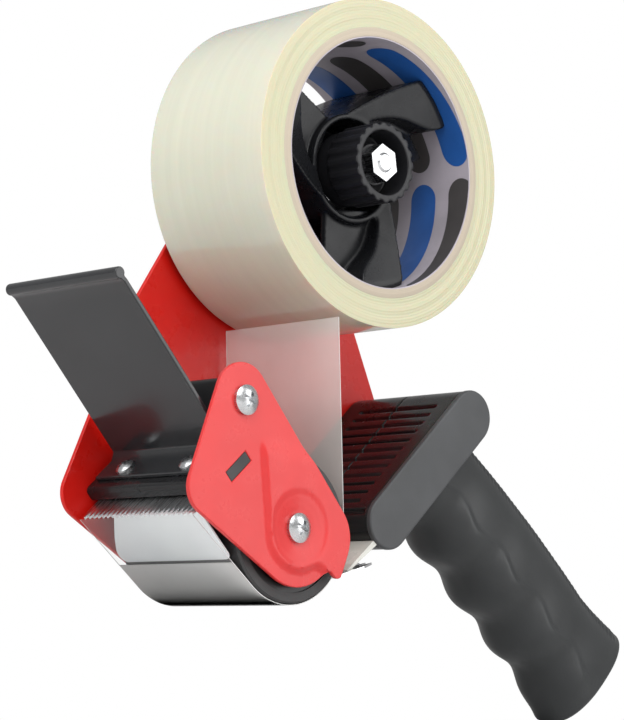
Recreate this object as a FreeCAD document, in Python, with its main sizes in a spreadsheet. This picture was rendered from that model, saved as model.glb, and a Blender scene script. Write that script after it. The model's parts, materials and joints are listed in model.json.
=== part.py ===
import FreeCAD, Part

# Hand-held carton tape gun: two painted side plates carry a rubber roller, a toothed cutter with
# its block and wiper flap, a handle head with a pistol grip, and a braked hub with a tape roll.
#
# Every piece is drawn in the tool frame: hub axis at the origin, +X towards the cutter, +Y
# towards the operator's left (the short, near plate), +Z up.  The tool leans a few degrees when
# it stands on its roller and grip butt, so one placement turns the tool frame into the row frame.
import math
import os

import Sketcher

Vector = FreeCAD.Vector
doc = FreeCAD.newDocument("TapeGun")

# ---------------------------------------------------------------- driving dimensions
SHEET = "Dimensions"
DRIVING = {
    "tape_width": 49.8,
    "roll_radius": 50.2,
    "core_radius": 41.2,
    "core_wall": 2.6,
    "liner_wall": 0.3,
    "film": 0.2,
    "plate_gap": 53.8,
    "plate_wall": 1.5,
    "screw_radius": 2.0,
    "roller_radius": 21.5,
    "roller_width": 51.2,
    "tyre_wall": 3.0,
    "roller_axle_radius": 3.0,
    "bush_flange_radius": 6.5,
    "running_gap": 0.05,
    "hub_axle_radius": 4.0,
    "hub_bush_wall": 1.5,
    "hub_reach": 38.1,
    "cup_radius": 15.2,
    "cup_depth": 16.0,
    "spring_radius": 6.2,
    "spring_wire": 0.9,
    "knob_radius": 12.3,
    "knob_length": 13.0,
    "knob_lobes": 20,
    "nut_flats": 10.0,
    "flap_width": 49.6,
    "flap_wall": 1.4,
    "flap_reach": 60.5,
    "blade_wall": 0.8,
    "blade_depth": 16.0,
    "tooth_depth": 3.0,
    "tooth_count": 24,
    "head_radius": 8.2,
    "head_half": 25.0,
    "head_wall": 2.2,
    "head_near": 20.2,
    "head_seam": -3.5,
    "cap_wall": 1.7,
    "groove_pitch": 4.1,
    "groove_count": 12,
    "grip_width": 29.0,
    "lean": 7.69,
    "stand_x": 38.21,
    "stand_z": 139.6,
}

sheet = doc.addObject("Spreadsheet::Sheet", SHEET)
for line, (alias, amount) in enumerate(DRIVING.items(), start=1):
    sheet.set(f"A{line}", alias)
    sheet.set(f"B{line}", str(amount))
    sheet.setAlias(f"B{line}", alias)
doc.recompute()


class Size:
    """A length together with the spreadsheet expression that gives it."""

    def __init__(self, amount, words):
        self.amount = amount
        self.words = words

    def __add__(self, other):
        return Size(self.amount + plain(other), f"({self.words} + {words_of(other)})")

    def __radd__(self, other):
        return Size(plain(other) + self.amount, f"({words_of(other)} + {self.words})")

    def __sub__(self, other):
        return Size(self.amount - plain(other), f"({self.words} - {words_of(other)})")

    def __rsub__(self, other):
        return Size(plain(other) - self.amount, f"({words_of(other)} - {self.words})")

    def __mul__(self, other):
        return Size(self.amount * plain(other), f"({self.words} * {words_of(other)})")

    __rmul__ = __mul__

    def __truediv__(self, other):
        return Size(self.amount / plain(other), f"({self.words} / {words_of(other)})")

    def __neg__(self):
        return Size(-self.amount, f"(0 - {self.words})")


def plain(amount):
    return amount.amount if isinstance(amount, Size) else float(amount)


def words_of(amount):
    return amount.words if isinstance(amount, Size) else repr(float(amount))


class Dims:
    """Reads a driving dimension by its name."""

    def __getattr__(self, alias):
        return Size(DRIVING[alias], f"{SHEET}.{alias}")


D = Dims()
SIDE = D.plate_gap / 2                 # inner face of each side plate, from the middle plane
OUTSIDE = SIDE + D.plate_wall          # outer face of each side plate

# Places in the tool frame (x, z) of the cross shafts and of the main pieces.
ROLLER_AT = (25.6, -115.2)
BLOCK_SCREW_AT = (50.0, -82.4)
BLADE_AT = (62.0, -116.0)              # cutting edge
BLADE_TILT = 47.2
HEAD_AT = (-34.4, -87.9)
HEAD_TILT = 49.2
GRIP_AT = (-77.8, -77.0)
GRIP_TILT = 145.95
PEEL_AT = (13.3, -48.4)                # where the tape leaves the roll
GRIP_MIDDLE = -2.5                     # the handle sits a little towards the far plate

ROW = FreeCAD.Placement(
    Vector(plain(D.stand_x), 0, plain(D.stand_z)),
    FreeCAD.Rotation(Vector(0, 1, 0), plain(D.lean)),
)
finished = []


def local(x=0, z=0, tilt=0, y=0):
    """Placement in the tool frame: moved to (x, y, z) and pitched about the cross axis."""
    return FreeCAD.Placement(Vector(x, y, z), FreeCAD.Rotation(Vector(0, 1, 0), tilt))


def finish(piece, where=None):
    """Gives a sub-part its place in the row frame and puts it on the export list."""
    piece.Placement = ROW * (where or local())
    finished.append(piece)
    return piece


def bind(thing, prop, amount):
    """Sets a property, tied to the spreadsheet when the amount comes from it."""
    setattr(thing, prop, plain(amount))
    if isinstance(amount, Size):
        thing.setExpression(prop, amount.words)


# ---------------------------------------------------------------- sketch helpers
def new_body(label):
    body = doc.addObject("PartDesign::Body", label)
    body.Label = label
    return body


def new_sketch(body, role="XZ_Plane", lift=0.0):
    """Empty sketch on one of the body's own planes; on XZ_Plane a lift moves it towards -Y."""
    sketch = body.newObject("Sketcher::SketchObject", body.Name + "_sketch")
    plane = next(item for item in body.Origin.OriginFeatures if item.Role == role)
    sketch.AttachmentSupport = (plane, [""])
    sketch.MapMode = "FlatFace"
    sketch.AttachmentOffset = FreeCAD.Placement(Vector(0, 0, plain(lift)), FreeCAD.Rotation())
    if isinstance(lift, Size):
        sketch.setExpression("AttachmentOffset.Base.z", lift.words)
    return sketch


def pin_value(sketch, constraint, amount):
    index = sketch.addConstraint(constraint)
    if isinstance(amount, Size):
        sketch.setExpression(f"Constraints[{index}]", amount.words)


def draw_circle(sketch, centre, radius):
    circle = Part.Circle(Vector(plain(centre[0]), plain(centre[1]), 0), Vector(0, 0, 1), plain(radius))
    index = sketch.addGeometry(circle)
    pin_value(sketch, Sketcher.Constraint("Radius", index, plain(radius)), radius)
    for kind, amount in zip(("DistanceX", "DistanceY"), centre):
        pin_value(sketch, Sketcher.Constraint(kind, index, 3, plain(amount)), amount)


def draw_polygon(sketch, points):
    """Closed straight-sided outline whose corners are tied to the sheet where they can be."""
    corners = [Vector(plain(x), plain(y), 0) for x, y in points]
    first = None
    for number, (x, y) in enumerate(points):
        end = corners[(number + 1) % len(corners)]
        index = sketch.addGeometry(Part.LineSegment(corners[number], end))
        first = index if first is None else first
    count = len(points)
    for number in range(count):
        after = first + (number + 1) % count
        sketch.addConstraint(Sketcher.Constraint("Coincident", first + number, 2, after, 1))
    for number, point in enumerate(points):
        for kind, amount in zip(("DistanceX", "DistanceY"), point):
            pin_value(sketch, Sketcher.Constraint(kind, first + number, 1, plain(amount)), amount)


def rounded_edges(corners):
    """Edges of a closed outline through (x, y, radius) corners, each rounded by a tangent arc."""
    points = [Vector(x, y, 0) for x, y, _ in corners]
    count = len(points)
    runs = []
    for number, (x, y, radius) in enumerate(corners):
        here = points[number]
        back = (points[number - 1] - here).normalize()
        ahead = (points[(number + 1) % count] - here).normalize()
        half = back.getAngle(ahead) / 2
        reach = radius / math.tan(half)
        middle = here + (back + ahead).normalize() * (radius / math.sin(half) - radius)
        runs.append((here + back * reach, middle, here + ahead * reach))
    edges = []
    for number, (start, middle, end) in enumerate(runs):
        if corners[number][2] > 0:
            edges.append(Part.Arc(start, middle, end))
        following = runs[(number + 1) % count][0]
        if end.distanceToPoint(following) > 1e-4:
            edges.append(Part.LineSegment(end, following))
    return edges


def draw_rounded(sketch, corners):
    for edge in rounded_edges(corners):
        sketch.addGeometry(edge)


def stadium_corners(half, radius):
    """Corners whose rounding makes a slot shape with two half-round ends."""
    end = half + radius
    soft = radius * 0.9999
    return [(-end, -radius, soft), (end, -radius, soft), (end, radius, soft), (-end, radius, soft)]


def pad(body, sketch, length, midplane=False, backwards=False):
    feature = body.newObject("PartDesign::Pad", body.Name + "_pad")
    feature.Profile = sketch
    bind(feature, "Length", length)
    feature.Midplane = midplane
    feature.Reversed = backwards
    return feature


def pocket(body, sketch, length, midplane=False, backwards=False):
    """Cuts a sketch through the body and makes sure that it took material away."""
    doc.recompute()
    before = body.Shape.Volume
    feature = body.newObject("PartDesign::Pocket", body.Name + "_pocket")
    feature.Profile = sketch
    bind(feature, "Length", length)
    feature.Midplane = midplane
    feature.Reversed = backwards
    doc.recompute()
    if body.Shape.Volume > before - 1e-3:
        raise ValueError(f"{feature.Label} cuts nothing")
    return feature


def turned(label, profile, where=None):
    """A piece turned about the cross axis; the profile is a list of (radius, y) corners."""
    body = new_body(label)
    sketch = new_sketch(body, "XY_Plane")
    draw_polygon(sketch, profile)
    turn = body.newObject("PartDesign::Revolution", label + "_turn")
    turn.Profile = sketch
    turn.ReferenceAxis = (sketch, ["V_Axis"])
    turn.Angle = 360
    doc.recompute()
    return finish(body, where) if where is not None else body


# ---------------------------------------------------------------- primitives for screws
def cylinder(name, radius, height, at=(0, 0, 0)):
    """Cylinder along +Y that starts at the given point."""
    piece = doc.addObject("Part::Cylinder", name)
    bind(piece, "Radius", radius)
    bind(piece, "Height", height)
    piece.Placement = FreeCAD.Placement(Vector(*at), FreeCAD.Rotation(Vector(1, 0, 0), -90))
    return piece


def fuse(name, pieces):
    joined = doc.addObject("Part::MultiFuse", name)
    joined.Shapes = pieces
    return joined


def cut(name, base, tool):
    result = doc.addObject("Part::Cut", name)
    result.Base = base
    result.Tool = tool
    return result


def group(label, pieces, where=None):
    """Identical fasteners in one node: separate solids in a compound."""
    compound = doc.addObject("Part::Compound", label)
    compound.Label = label
    compound.Links = pieces
    return finish(compound, where or local())


def pan_screw(name, head_radius, head_height, shank_radius, shank_length, where):
    """Cross-recessed pan screw whose head sits above the plane y = 0 and points to +Y."""
    body = new_body(name)
    sketch = new_sketch(body, "XY_Plane")
    shoulder = head_height * 0.4
    rise = head_height - shoulder
    ball = (head_radius ** 2 + rise ** 2) / (2 * rise)
    half = math.asin(head_radius / ball) / 2
    brow = Vector(ball * math.sin(half), head_height - ball + ball * math.cos(half), 0)
    radius, length = plain(shank_radius), plain(shank_length)
    start, edge, top = Vector(0, -length, 0), Vector(head_radius, shoulder, 0), Vector(0, head_height, 0)
    corners = [start, Vector(radius, -length, 0), Vector(radius, 0, 0), Vector(head_radius, 0, 0), edge]
    for low, high in zip(corners, corners[1:]):
        sketch.addGeometry(Part.LineSegment(low, high))
    sketch.addGeometry(Part.Arc(edge, brow, top))
    sketch.addGeometry(Part.LineSegment(top, start))
    turn = body.newObject("PartDesign::Revolution", name + "_turn")
    turn.Profile = sketch
    turn.ReferenceAxis = (sketch, ["V_Axis"])
    turn.Angle = 360
    cross = new_sketch(body, "XZ_Plane", -head_height)
    arm, wide = head_radius * 0.52, head_radius * 0.12
    steps = [(arm, wide), (wide, wide), (wide, arm), (-wide, arm), (-wide, wide), (-arm, wide)]
    spin = math.radians(20)
    points = []
    for x, z in steps + [(-x, -z) for x, z in steps]:
        points.append(Vector(x * math.cos(spin) - z * math.sin(spin), x * math.sin(spin) + z * math.cos(spin), 0))
    for low, high in zip(points, points[1:] + points[:1]):
        cross.addGeometry(Part.LineSegment(low, high))
    pocket(body, cross, head_height * 0.6, backwards=True)
    body.Placement = where
    return body


FLIP = FreeCAD.Rotation(Vector(0, 0, 1), 180)


def side_screws(label, places, sides, shank):
    """Pan screws through the side plates at (x, z) places; sides are +1 near and -1 far."""
    screws = []
    for number, (x, z) in enumerate(places):
        for side in sides:
            turn = FreeCAD.Rotation() if side > 0 else FLIP
            seat = FreeCAD.Placement(Vector(x, side * plain(OUTSIDE), z), turn)
            name = f"{label}_{number}{'n' if side > 0 else 'f'}"
            screws.append(pan_screw(name, 4.3, 2.4, D.screw_radius, shank, seat))
    return group(label, screws)


# ---------------------------------------------------------------- side plates
SLOT_AT = (50.1, -101.4)
SLOT_HALF = (4.8, 1.75)


def slot_outline(clearance=0.0):
    """Corners of the locating slot, which lies parallel to the cutter blade."""
    along = Vector(math.cos(math.radians(BLADE_TILT)), -math.sin(math.radians(BLADE_TILT)), 0)
    across = Vector(-along.y, along.x, 0)
    corners = []
    for a, b in ((-1, -1), (1, -1), (1, 1), (-1, 1)):
        shift = along * a * (SLOT_HALF[0] - clearance) + across * b * (SLOT_HALF[1] - clearance)
        corners.append((SLOT_AT[0] + shift.x, SLOT_AT[1] + shift.y))
    return corners


HEAD_SCREWS = [(-50.7, -69.0), (-18.1, -106.8)]

# Front lobe shared by both plates: round the cutter corner and the roller, with a stop tab.
LOBE = [(69.2, -113.1, 8.0), (21.4, -135.9, 16.1), (12.7, -125.7, 0.8), (8.3, -128.8, 1.8)]


def soften(body, feature, height, radius):
    """Rounds the outline of the flat face that lies at y = height."""
    doc.recompute()
    shape = feature.Shape
    flat = next(face for face in shape.Faces if abs(face.BoundBox.YMin - plain(height)) < 1e-4)
    outline = flat.OuterWire.Edges
    rim = body.newObject("PartDesign::Fillet", body.Name + "_rim")
    names = []
    for number, edge in enumerate(shape.Edges, start=1):
        if any(edge.isSame(other) for other in outline):
            names.append(f"Edge{number}")
    rim.Base = (feature, names)
    rim.Radius = radius
    doc.recompute()


def side_plate(label, corners, side, extra_holes):
    body = new_body(label)
    start = -OUTSIDE if side > 0 else SIDE
    sketch = new_sketch(body, "XZ_Plane", start)
    draw_rounded(sketch, corners)
    for hole in (ROLLER_AT, BLOCK_SCREW_AT):
        draw_circle(sketch, hole, D.screw_radius + 0.1)
    for x, z, radius in extra_holes:
        draw_circle(sketch, (x, z), radius)
    draw_polygon(sketch, slot_outline())
    sheet_metal = pad(body, sketch, D.plate_wall)
    doc.recompute()
    soften(body, sheet_metal, side * OUTSIDE, 0.4)
    return finish(body)


near_rear = [(3.8, -113.2, 12.0), (56.1, -63.0, 9.7)]
side_plate("near_side_plate", LOBE + near_rear, 1, [])
far_rear = [
    (-4.0, -119.5, 6.0),
    (-20.5, -115.5, 8.0),
    (-60.5, -68.0, 7.0),
    (-9.5, 19.0, 17.5),
    (13.8, 19.0, 17.5),
    (48.6, -48.0, 20.0),
]
far_holes = [(x, z, D.screw_radius + 0.1) for x, z in HEAD_SCREWS] + [(0, 0, 3.0)]
side_plate("far_side_plate", [(70.2, -112.6, 8.0)] + LOBE[1:] + far_rear, -1, far_holes)


# ---------------------------------------------------------------- cutter block and wiper
BLADE = local(*BLADE_AT, BLADE_TILT)   # x towards the tips, z away from the tape
DECK = 4.6                             # top of the block's nose above the blade
NOSE = (-21.2, -7.4)                   # back and front of the nose in the blade's frame
FOOT_SCREW_X = -15.0
FOOT_SCREW_Y = 14.0
BLADE_SCREW_X = -12.5
BLADE_SCREW_Y = 20.0
SMALL_SHANK = 1.5                      # radius of the small screws' shanks
SMALL_LENGTH = 4.2


def in_blade(x, z):
    """Tool-frame (x, z) of a point given in the blade's frame."""
    spot = BLADE.multVec(Vector(x, 0, z))
    return (spot.x, spot.z)


def square_holes(name, radius, low, high, places):
    """Cylinders square to the blade at (x, y) places, for cutting screw holes."""
    tools = []
    for number, (x, y) in enumerate(places):
        tool = cylinder(f"{name}_{number}", radius, high - low)
        tool.Placement = BLADE * FreeCAD.Placement(Vector(x, y, low), FreeCAD.Rotation())
        tools.append(tool)
    return tools


FOOT_SCREWS = [(FOOT_SCREW_X, side * FOOT_SCREW_Y) for side in (1, -1)]
BLADE_SCREWS = [(BLADE_SCREW_X, side * BLADE_SCREW_Y) for side in (1, -1)]


def front_block():
    """Black cross member: an upright web with the screw bosses, and a rounded nose in front."""
    body = new_body("front_block_solid")
    sketch = new_sketch(body)
    corners = [
        (42.5, -76.0, 1.5),
        (54.5, -76.0, 1.5),
        (54.5, -88.0, 1.0),
        (49.4, -94.8, 1.0),
        (*in_blade(NOSE[0], DECK), 0.3),
        (*in_blade(NOSE[1], DECK), 1.6),
        (*in_blade(NOSE[1], 0.0), 1.2),
        (*in_blade(NOSE[0], 0.0), 0.5),
        (42.5, -92.0, 2.0),
    ]
    draw_rounded(sketch, corners)
    pad(body, sketch, D.plate_gap - 0.1, midplane=True)
    tab_start, tab_end = SIDE - 1.7, OUTSIDE - 0.15
    for lift in (-tab_end, tab_start):
        tab = new_sketch(body, "XZ_Plane", lift)
        draw_polygon(tab, slot_outline(0.1))
        pad(body, tab, tab_end - tab_start)
    for side in (1, -1):
        boss_bore = new_sketch(body, "XZ_Plane", -side * D.plate_gap / 2)
        draw_circle(boss_bore, BLOCK_SCREW_AT, D.screw_radius)
        pocket(body, boss_bore, 10.4, backwards=side > 0)
    foot_holes = square_holes("foot_hole", SMALL_SHANK, DECK + plain(D.flap_wall) - SMALL_LENGTH - 0.2, DECK + 1,
                              FOOT_SCREWS)
    blade_holes = square_holes("blade_hole", SMALL_SHANK, -1.0, 3.0, BLADE_SCREWS)
    block = cut("front_block", body, fuse("block_holes", foot_holes + blade_holes))
    block.Label = "front_block"
    return finish(block)


front_block()
side_screws("block_screws", [BLOCK_SCREW_AT], (1, -1), 10.0)



def flat_plate(label, outline, holes, bottom, thickness, where):
    """Flat strip drawn in its own XY plane, with round holes given as (x, y, radius)."""
    body = new_body(label)
    sketch = new_sketch(body, "XY_Plane", bottom)
    draw_polygon(sketch, outline)
    for x, y, radius in holes:
        draw_circle(sketch, (x, y), radius)
    pad(body, sketch, thickness)
    return finish(body, where)


half_flap = D.flap_width / 2
foot = [(-20.6, -half_flap), (-11.2, -half_flap), (-11.2, half_flap), (-20.6, half_flap)]
foot_holes = [(x, y, SMALL_SHANK + 0.1) for x, y in FOOT_SCREWS]
flat_plate("flap_foot", foot, foot_holes, DECK, D.flap_wall, BLADE)

FLAP_TILT = -42.2
FLAP = local(51.8, -96.2, FLAP_TILT)   # x up along the flap from its bend, z is its rear side
FLAP_START = 0.8


def wiper_flap():
    """Springy flap with a rolled bead along its free edge."""
    body = new_body("wiper_flap")
    sketch = new_sketch(body)
    wall = D.flap_wall
    outline = [(FLAP_START, 0.0), (D.flap_reach, 0.0), (D.flap_reach, wall), (FLAP_START, wall)]
    draw_polygon(sketch, outline)
    pad(body, sketch, D.flap_width, midplane=True)
    bead = new_sketch(body)
    draw_circle(bead, (D.flap_reach, D.flap_wall / 2 - 0.3), 1.75)
    pad(body, bead, D.flap_width, midplane=True)
    return finish(body, FLAP)


wiper_flap()


def small_screws(label, places, surface, upwards, length):
    """Pan screws square to the blade at (x, y) places; their heads face up or down."""
    screws = []
    turn = FreeCAD.Rotation(Vector(1, 0, 0), 90 if upwards else -90)
    for number, (x, y) in enumerate(places):
        seat = FreeCAD.Placement(Vector(x, y, surface), turn)
        screws.append(pan_screw(f"{label}_{number}", 2.9, 1.9, SMALL_SHANK, length, seat))
    return group(label, screws, BLADE)


small_screws("flap_screws", FOOT_SCREWS, DECK + plain(D.flap_wall), True, SMALL_LENGTH)


# ---------------------------------------------------------------- cutter blade and tape keeper
def cutter_blade():
    """Strip steel with a row of saw teeth along its front edge."""
    count = DRIVING["tooth_count"]
    pitch = DRIVING["flap_width"] / count
    left = -DRIVING["flap_width"] / 2
    root = -DRIVING["tooth_depth"]
    outline = [(-DRIVING["blade_depth"], -left), (-DRIVING["blade_depth"], left)]
    for tooth in range(count):
        outline.append((root, left + tooth * pitch))
        outline.append((0.0, left + (tooth + 0.5) * pitch))
    outline.append((root, -left))
    holes = [(x, y, SMALL_SHANK + 0.1) for x, y in BLADE_SCREWS]
    body = new_body("cutter_blade")
    sketch = new_sketch(body, "XY_Plane", -D.blade_wall)
    corners = [Vector(x, y, 0) for x, y in outline]
    for start, end in zip(corners, corners[1:] + corners[:1]):
        sketch.addGeometry(Part.LineSegment(start, end))
    for x, y, radius in holes:
        draw_circle(sketch, (x, y), radius)
    pad(body, sketch, D.blade_wall)
    return finish(body, BLADE)


cutter_blade()

KEEPER_WALL = 0.4
CLAMP_WALL = 2.0
clamp_top = -D.blade_wall - KEEPER_WALL
half_clamp = 24.2
clamp = [(-16.0, -half_clamp), (-5.5, -half_clamp), (-5.5, half_clamp), (-16.0, half_clamp)]
clamp_holes = [(x, y, SMALL_SHANK + 0.1) for x, y in BLADE_SCREWS]
flat_plate("blade_clamp", clamp, clamp_holes, clamp_top - CLAMP_WALL, CLAMP_WALL, BLADE)
small_screws("blade_screws", BLADE_SCREWS, plain(clamp_top) - CLAMP_WALL, False, 6.1)


def tape_keeper():
    """Clear film held under the blade; it turns back over the tape run towards the roller."""
    seat = BLADE.multVec(Vector(-16.0, 0, -plain(D.blade_wall)))
    lip = BLADE.multVec(Vector(-2.2, 0, -plain(D.blade_wall)))
    tail = Vector(45.9, 0, -126.9)
    thickness = KEEPER_WALL
    inner = [seat, lip, tail]
    along = (lip - seat).normalize()
    back = (tail - lip).normalize()
    square = Vector(along.z, 0, -along.x)
    square_back = Vector(back.z, 0, -back.x)
    corner = lip + (square + square_back).normalize() * (thickness / math.cos(
        square.getAngle(square_back) / 2))
    outer = [tail + square_back * thickness, corner, seat + square * thickness]
    body = new_body("tape_keeper_solid")
    sketch = new_sketch(body)
    corners = [(p.x, p.z) for p in inner + outer]
    draw_polygon(sketch, corners)
    pad(body, sketch, 48.4, midplane=True)
    holes = fuse("keeper_holes", square_holes("keeper_hole", SMALL_SHANK + 0.1, -2.0, 0.0, BLADE_SCREWS))
    keeper = cut("tape_keeper", body, holes)
    keeper.Label = "tape_keeper"
    return finish(keeper)


tape_keeper()


# ---------------------------------------------------------------- roller
ROLLER = local(*ROLLER_AT)
half_roller = D.roller_width / 2
axle_end = SIDE - 0.05
bush_bore = D.roller_axle_radius + D.running_gap
turned("roller_axle", [
    (D.screw_radius, -axle_end), (D.roller_axle_radius, -axle_end),
    (D.roller_axle_radius, axle_end), (D.screw_radius, axle_end),
    (D.screw_radius, 15.0), (0.0, 14.0), (0.0, -14.0), (D.screw_radius, -15.0),
], ROLLER)
side_screws("axle_screws", [ROLLER_AT], (1, -1), 10.0)

core_outer = D.roller_radius - D.tyre_wall
turned("roller_sleeve", [
    (core_outer, -half_roller), (D.roller_radius - 0.6, -half_roller),
    (D.roller_radius, -half_roller + 0.6), (D.roller_radius, half_roller - 0.6),
    (D.roller_radius - 0.6, half_roller), (core_outer, half_roller),
], ROLLER)


def roller_core():
    """Moulded drum: rim, two recessed webs and a hub tube that holds the bushes."""
    hub_outer = 7.6
    hub_bore = 5.0
    rim_inner = core_outer - 2.0
    web_face = half_roller - 3.5
    web_back = half_roller - 6.0
    end = half_roller - 0.6
    return turned("roller_core", [
        (hub_bore, -end), (hub_outer, -end), (hub_outer, -web_face), (rim_inner, -web_face),
        (rim_inner, -end), (core_outer, -end), (core_outer, end), (rim_inner, end),
        (rim_inner, web_face), (hub_outer, web_face), (hub_outer, end), (hub_bore, end),
        (hub_bore, web_back), (hub_outer, web_back), (rim_inner, web_back),
        (rim_inner, -web_back), (hub_outer, -web_back), (hub_bore, -web_back),
    ], ROLLER)


roller_core()


def mirrored_rings(label, profile, where):
    """Two turned rings, one at each end of a shaft, kept as separate solids in one node."""
    rings = []
    for side in (1, -1):
        rings.append(turned(f"{label}_{'n' if side > 0 else 'f'}", [(r, side * y) for r, y in profile]))
    return group(label, rings, where)


bush_depth = half_roller - 12.0
mirrored_rings("roller_bushes", [
    (bush_bore, bush_depth), (5.0, bush_depth), (5.0, half_roller - 0.6),
    (D.bush_flange_radius, half_roller - 0.6), (D.bush_flange_radius, half_roller + 0.2),
    (bush_bore, half_roller + 0.2),
], ROLLER)
mirrored_rings("thrust_washers", [
    (bush_bore, half_roller + 0.4), (5.8, half_roller + 0.4), (5.8, SIDE - 0.05), (bush_bore, SIDE - 0.05),
], ROLLER)


# ---------------------------------------------------------------- handle head
HEAD = local(*HEAD_AT, HEAD_TILT)      # x along the head towards the roller, z to its ribbed face
FIRST_GROOVE = -20.9


def groove(body, x, start, end, floor):
    """Transverse groove across the ribbed face, with half-round ends."""
    cutter = new_sketch(body, "XY_Plane", floor)
    half, soft = 0.6, 0.599
    corners = [(x - half, start, soft), (x + half, start, soft), (x + half, end, soft), (x - half, end, soft)]
    draw_rounded(cutter, corners)
    return pocket(body, cutter, 3.0, backwards=True)


def head_shell(label, open_end, closed_end, groove_ends, bores, last_groove=None):
    """Half of the hollow head: a slot-shaped tube with an end wall and screw bosses."""
    body = new_body(label)
    low, high = sorted((plain(open_end), plain(closed_end)))
    outside = new_sketch(body, "XZ_Plane", -high)
    draw_rounded(outside, stadium_corners(plain(D.head_half), plain(D.head_radius)))
    pad(body, outside, high - low)
    wall = plain(D.head_wall)
    floor = low + wall if plain(closed_end) < plain(open_end) else low
    inside = new_sketch(body, "XZ_Plane", -floor)
    draw_rounded(inside, stadium_corners(plain(D.head_half), plain(D.head_radius) - wall))
    pocket(body, inside, high - low - wall)
    for x, z, radius in bores:
        post = new_sketch(body, "XZ_Plane", -high)
        draw_circle(post, (x, z), radius + 2.2)
        pad(body, post, high - low)
    for x, z, radius in bores:
        bore = new_sketch(body, "XZ_Plane", -high)
        draw_circle(bore, (x, z), radius)
        pocket(body, bore, high - low, backwards=True)
    first = groove(body, FIRST_GROOVE, *groove_ends, D.head_radius - 1.0)
    row = body.newObject("PartDesign::LinearPattern", label + "_grooves")
    row.Originals = [first]
    row.Direction = (next(i for i in body.Origin.OriginFeatures if i.Role == "X_Axis"), [""])
    row.Mode = "Spacing"
    bind(row, "Offset", D.groove_pitch)
    row.Occurrences = DRIVING["groove_count"]
    body.Tip = row
    doc.recompute()
    if last_groove:
        beyond = FIRST_GROOVE + plain(D.groove_pitch) * DRIVING["groove_count"]
        groove(body, beyond, *last_groove, D.head_radius - 1.9)
    return finish(body, HEAD)


HEAD_BORES = [(-25.0, 0.0, 2.0), (25.0, 0.0, 2.0)]
seam = plain(D.head_seam)
head_shell("head_shell_far", D.head_seam - 0.05, -SIDE, (-19.5, seam + 1), HEAD_BORES)
head_shell("head_shell_near", D.head_seam, D.head_near, (seam - 1, 14.3), HEAD_BORES, (seam - 1, 18.6))


def head_end_cap():
    """Flat cap that closes the near end of the head, with a plug lip inside it."""
    body = new_body("head_end_cap")
    plate = new_sketch(body, "XZ_Plane", -(D.head_near + D.cap_wall))
    draw_rounded(plate, stadium_corners(plain(D.head_half), plain(D.head_radius) + 0.15))
    slab = pad(body, plate, D.cap_wall - 0.05)
    soften(body, slab, D.head_near + D.cap_wall, 0.7)
    return finish(body, HEAD)


head_end_cap()
head_places = [(p.x, p.z) for p in (HEAD.multVec(Vector(x, 0, 0)) for x in (-25.0, 25.0))]
side_screws("head_screws", head_places, (-1,), 16.0)


# ---------------------------------------------------------------- pistol grip
GRIP = local(*GRIP_AT, GRIP_TILT, GRIP_MIDDLE)   # x down the grip, z from back strap to fingers

# Heights are measured from the back strap's side to the fingers' side, distances down the grip.
GRIP_START = -27.0
GRIP_END = 85.0
BACK_STRAP = 3.0
BACK_BELLY = 1.5                       # fullness of the back strap, in the palm
PALM_AT = 24.0
PALM_REACH = 38.0
FINGER_LINE = 35.6
FINGER_PITCH = 23.6
FINGER_SWELL = 1.3
FIRST_SWELL = 6.0
FLARE_START = 58.0
HEEL = 4.0                             # how far the butt flares past the back strap
TOE = 5.2                              # and past the line of the fingers
BUTT_LEAN = 5.0
BUTT_ROUND = 2.0
WAIST = 0.25                           # how much narrower the grip is under a finger
BUTT_NARROWING = 1.6


def grip_oval(distance, shrink=1.0):
    """Oval across the grip: swollen between two fingers and flared towards the butt."""
    wave = math.cos(2 * math.pi * (distance - FIRST_SWELL) / FINGER_PITCH)
    flare = max(0.0, (min(distance, GRIP_END) - FLARE_START) / (GRIP_END - FLARE_START)) ** 2
    belly = BACK_BELLY * max(0.0, 1 - ((distance - PALM_AT) / PALM_REACH) ** 2)
    back = BACK_STRAP - belly - HEEL * flare
    front = FINGER_LINE + FINGER_SWELL * wave * (1 - flare) + TOE * flare
    oval = doc.addObject("Part::Ellipse", "grip_oval")
    oval.MajorRadius = shrink * (front - back) / 2
    half_width = D.grip_width / 2 - WAIST * (1 - wave) - BUTT_NARROWING * flare
    bind(oval, "MinorRadius", half_width * shrink)
    turn = FreeCAD.Rotation(Vector(0, 1, 0), -90 - BUTT_LEAN * flare)
    oval.Placement = FreeCAD.Placement(Vector(distance, 0, (front + back) / 2), turn)
    return oval


def grip_sleeve():
    """Soft grip: a loft through ovals that swell between the fingers and flare at the butt."""
    step = FINGER_PITCH / 4
    count = int((GRIP_END - GRIP_START) / step)
    places = [GRIP_END - step * (count - number) for number in range(count + 1)]
    ovals = [grip_oval(distance) for distance in places]
    ovals.append(grip_oval(GRIP_END + BUTT_ROUND, 0.86))
    loft = doc.addObject("Part::Loft", "grip_loft")
    loft.Sections = ovals
    loft.Solid = True
    loft.MaxDegree = 3
    head_block = doc.addObject("Part::Box", "grip_head_clear")
    head_block.Length, head_block.Width, head_block.Height = 90, 90, 40
    corner = FreeCAD.Placement(Vector(-45, -45, -plain(D.head_radius) - 0.05), FreeCAD.Rotation())
    head_block.Placement = GRIP.inverse() * HEAD * corner
    stem_room = cylinder("grip_stem_room", 7.05, 140, (0, 0, 0))
    stem_room.Placement = FreeCAD.Placement(Vector(-40, 0, 20.2), FreeCAD.Rotation(Vector(0, 1, 0), 90))
    trimmed = cut("grip_trimmed", loft, head_block)
    common = cut("grip_sleeve", trimmed, stem_room)
    common.Label = "grip_sleeve"
    return finish(common, GRIP)


grip_sleeve()


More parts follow.
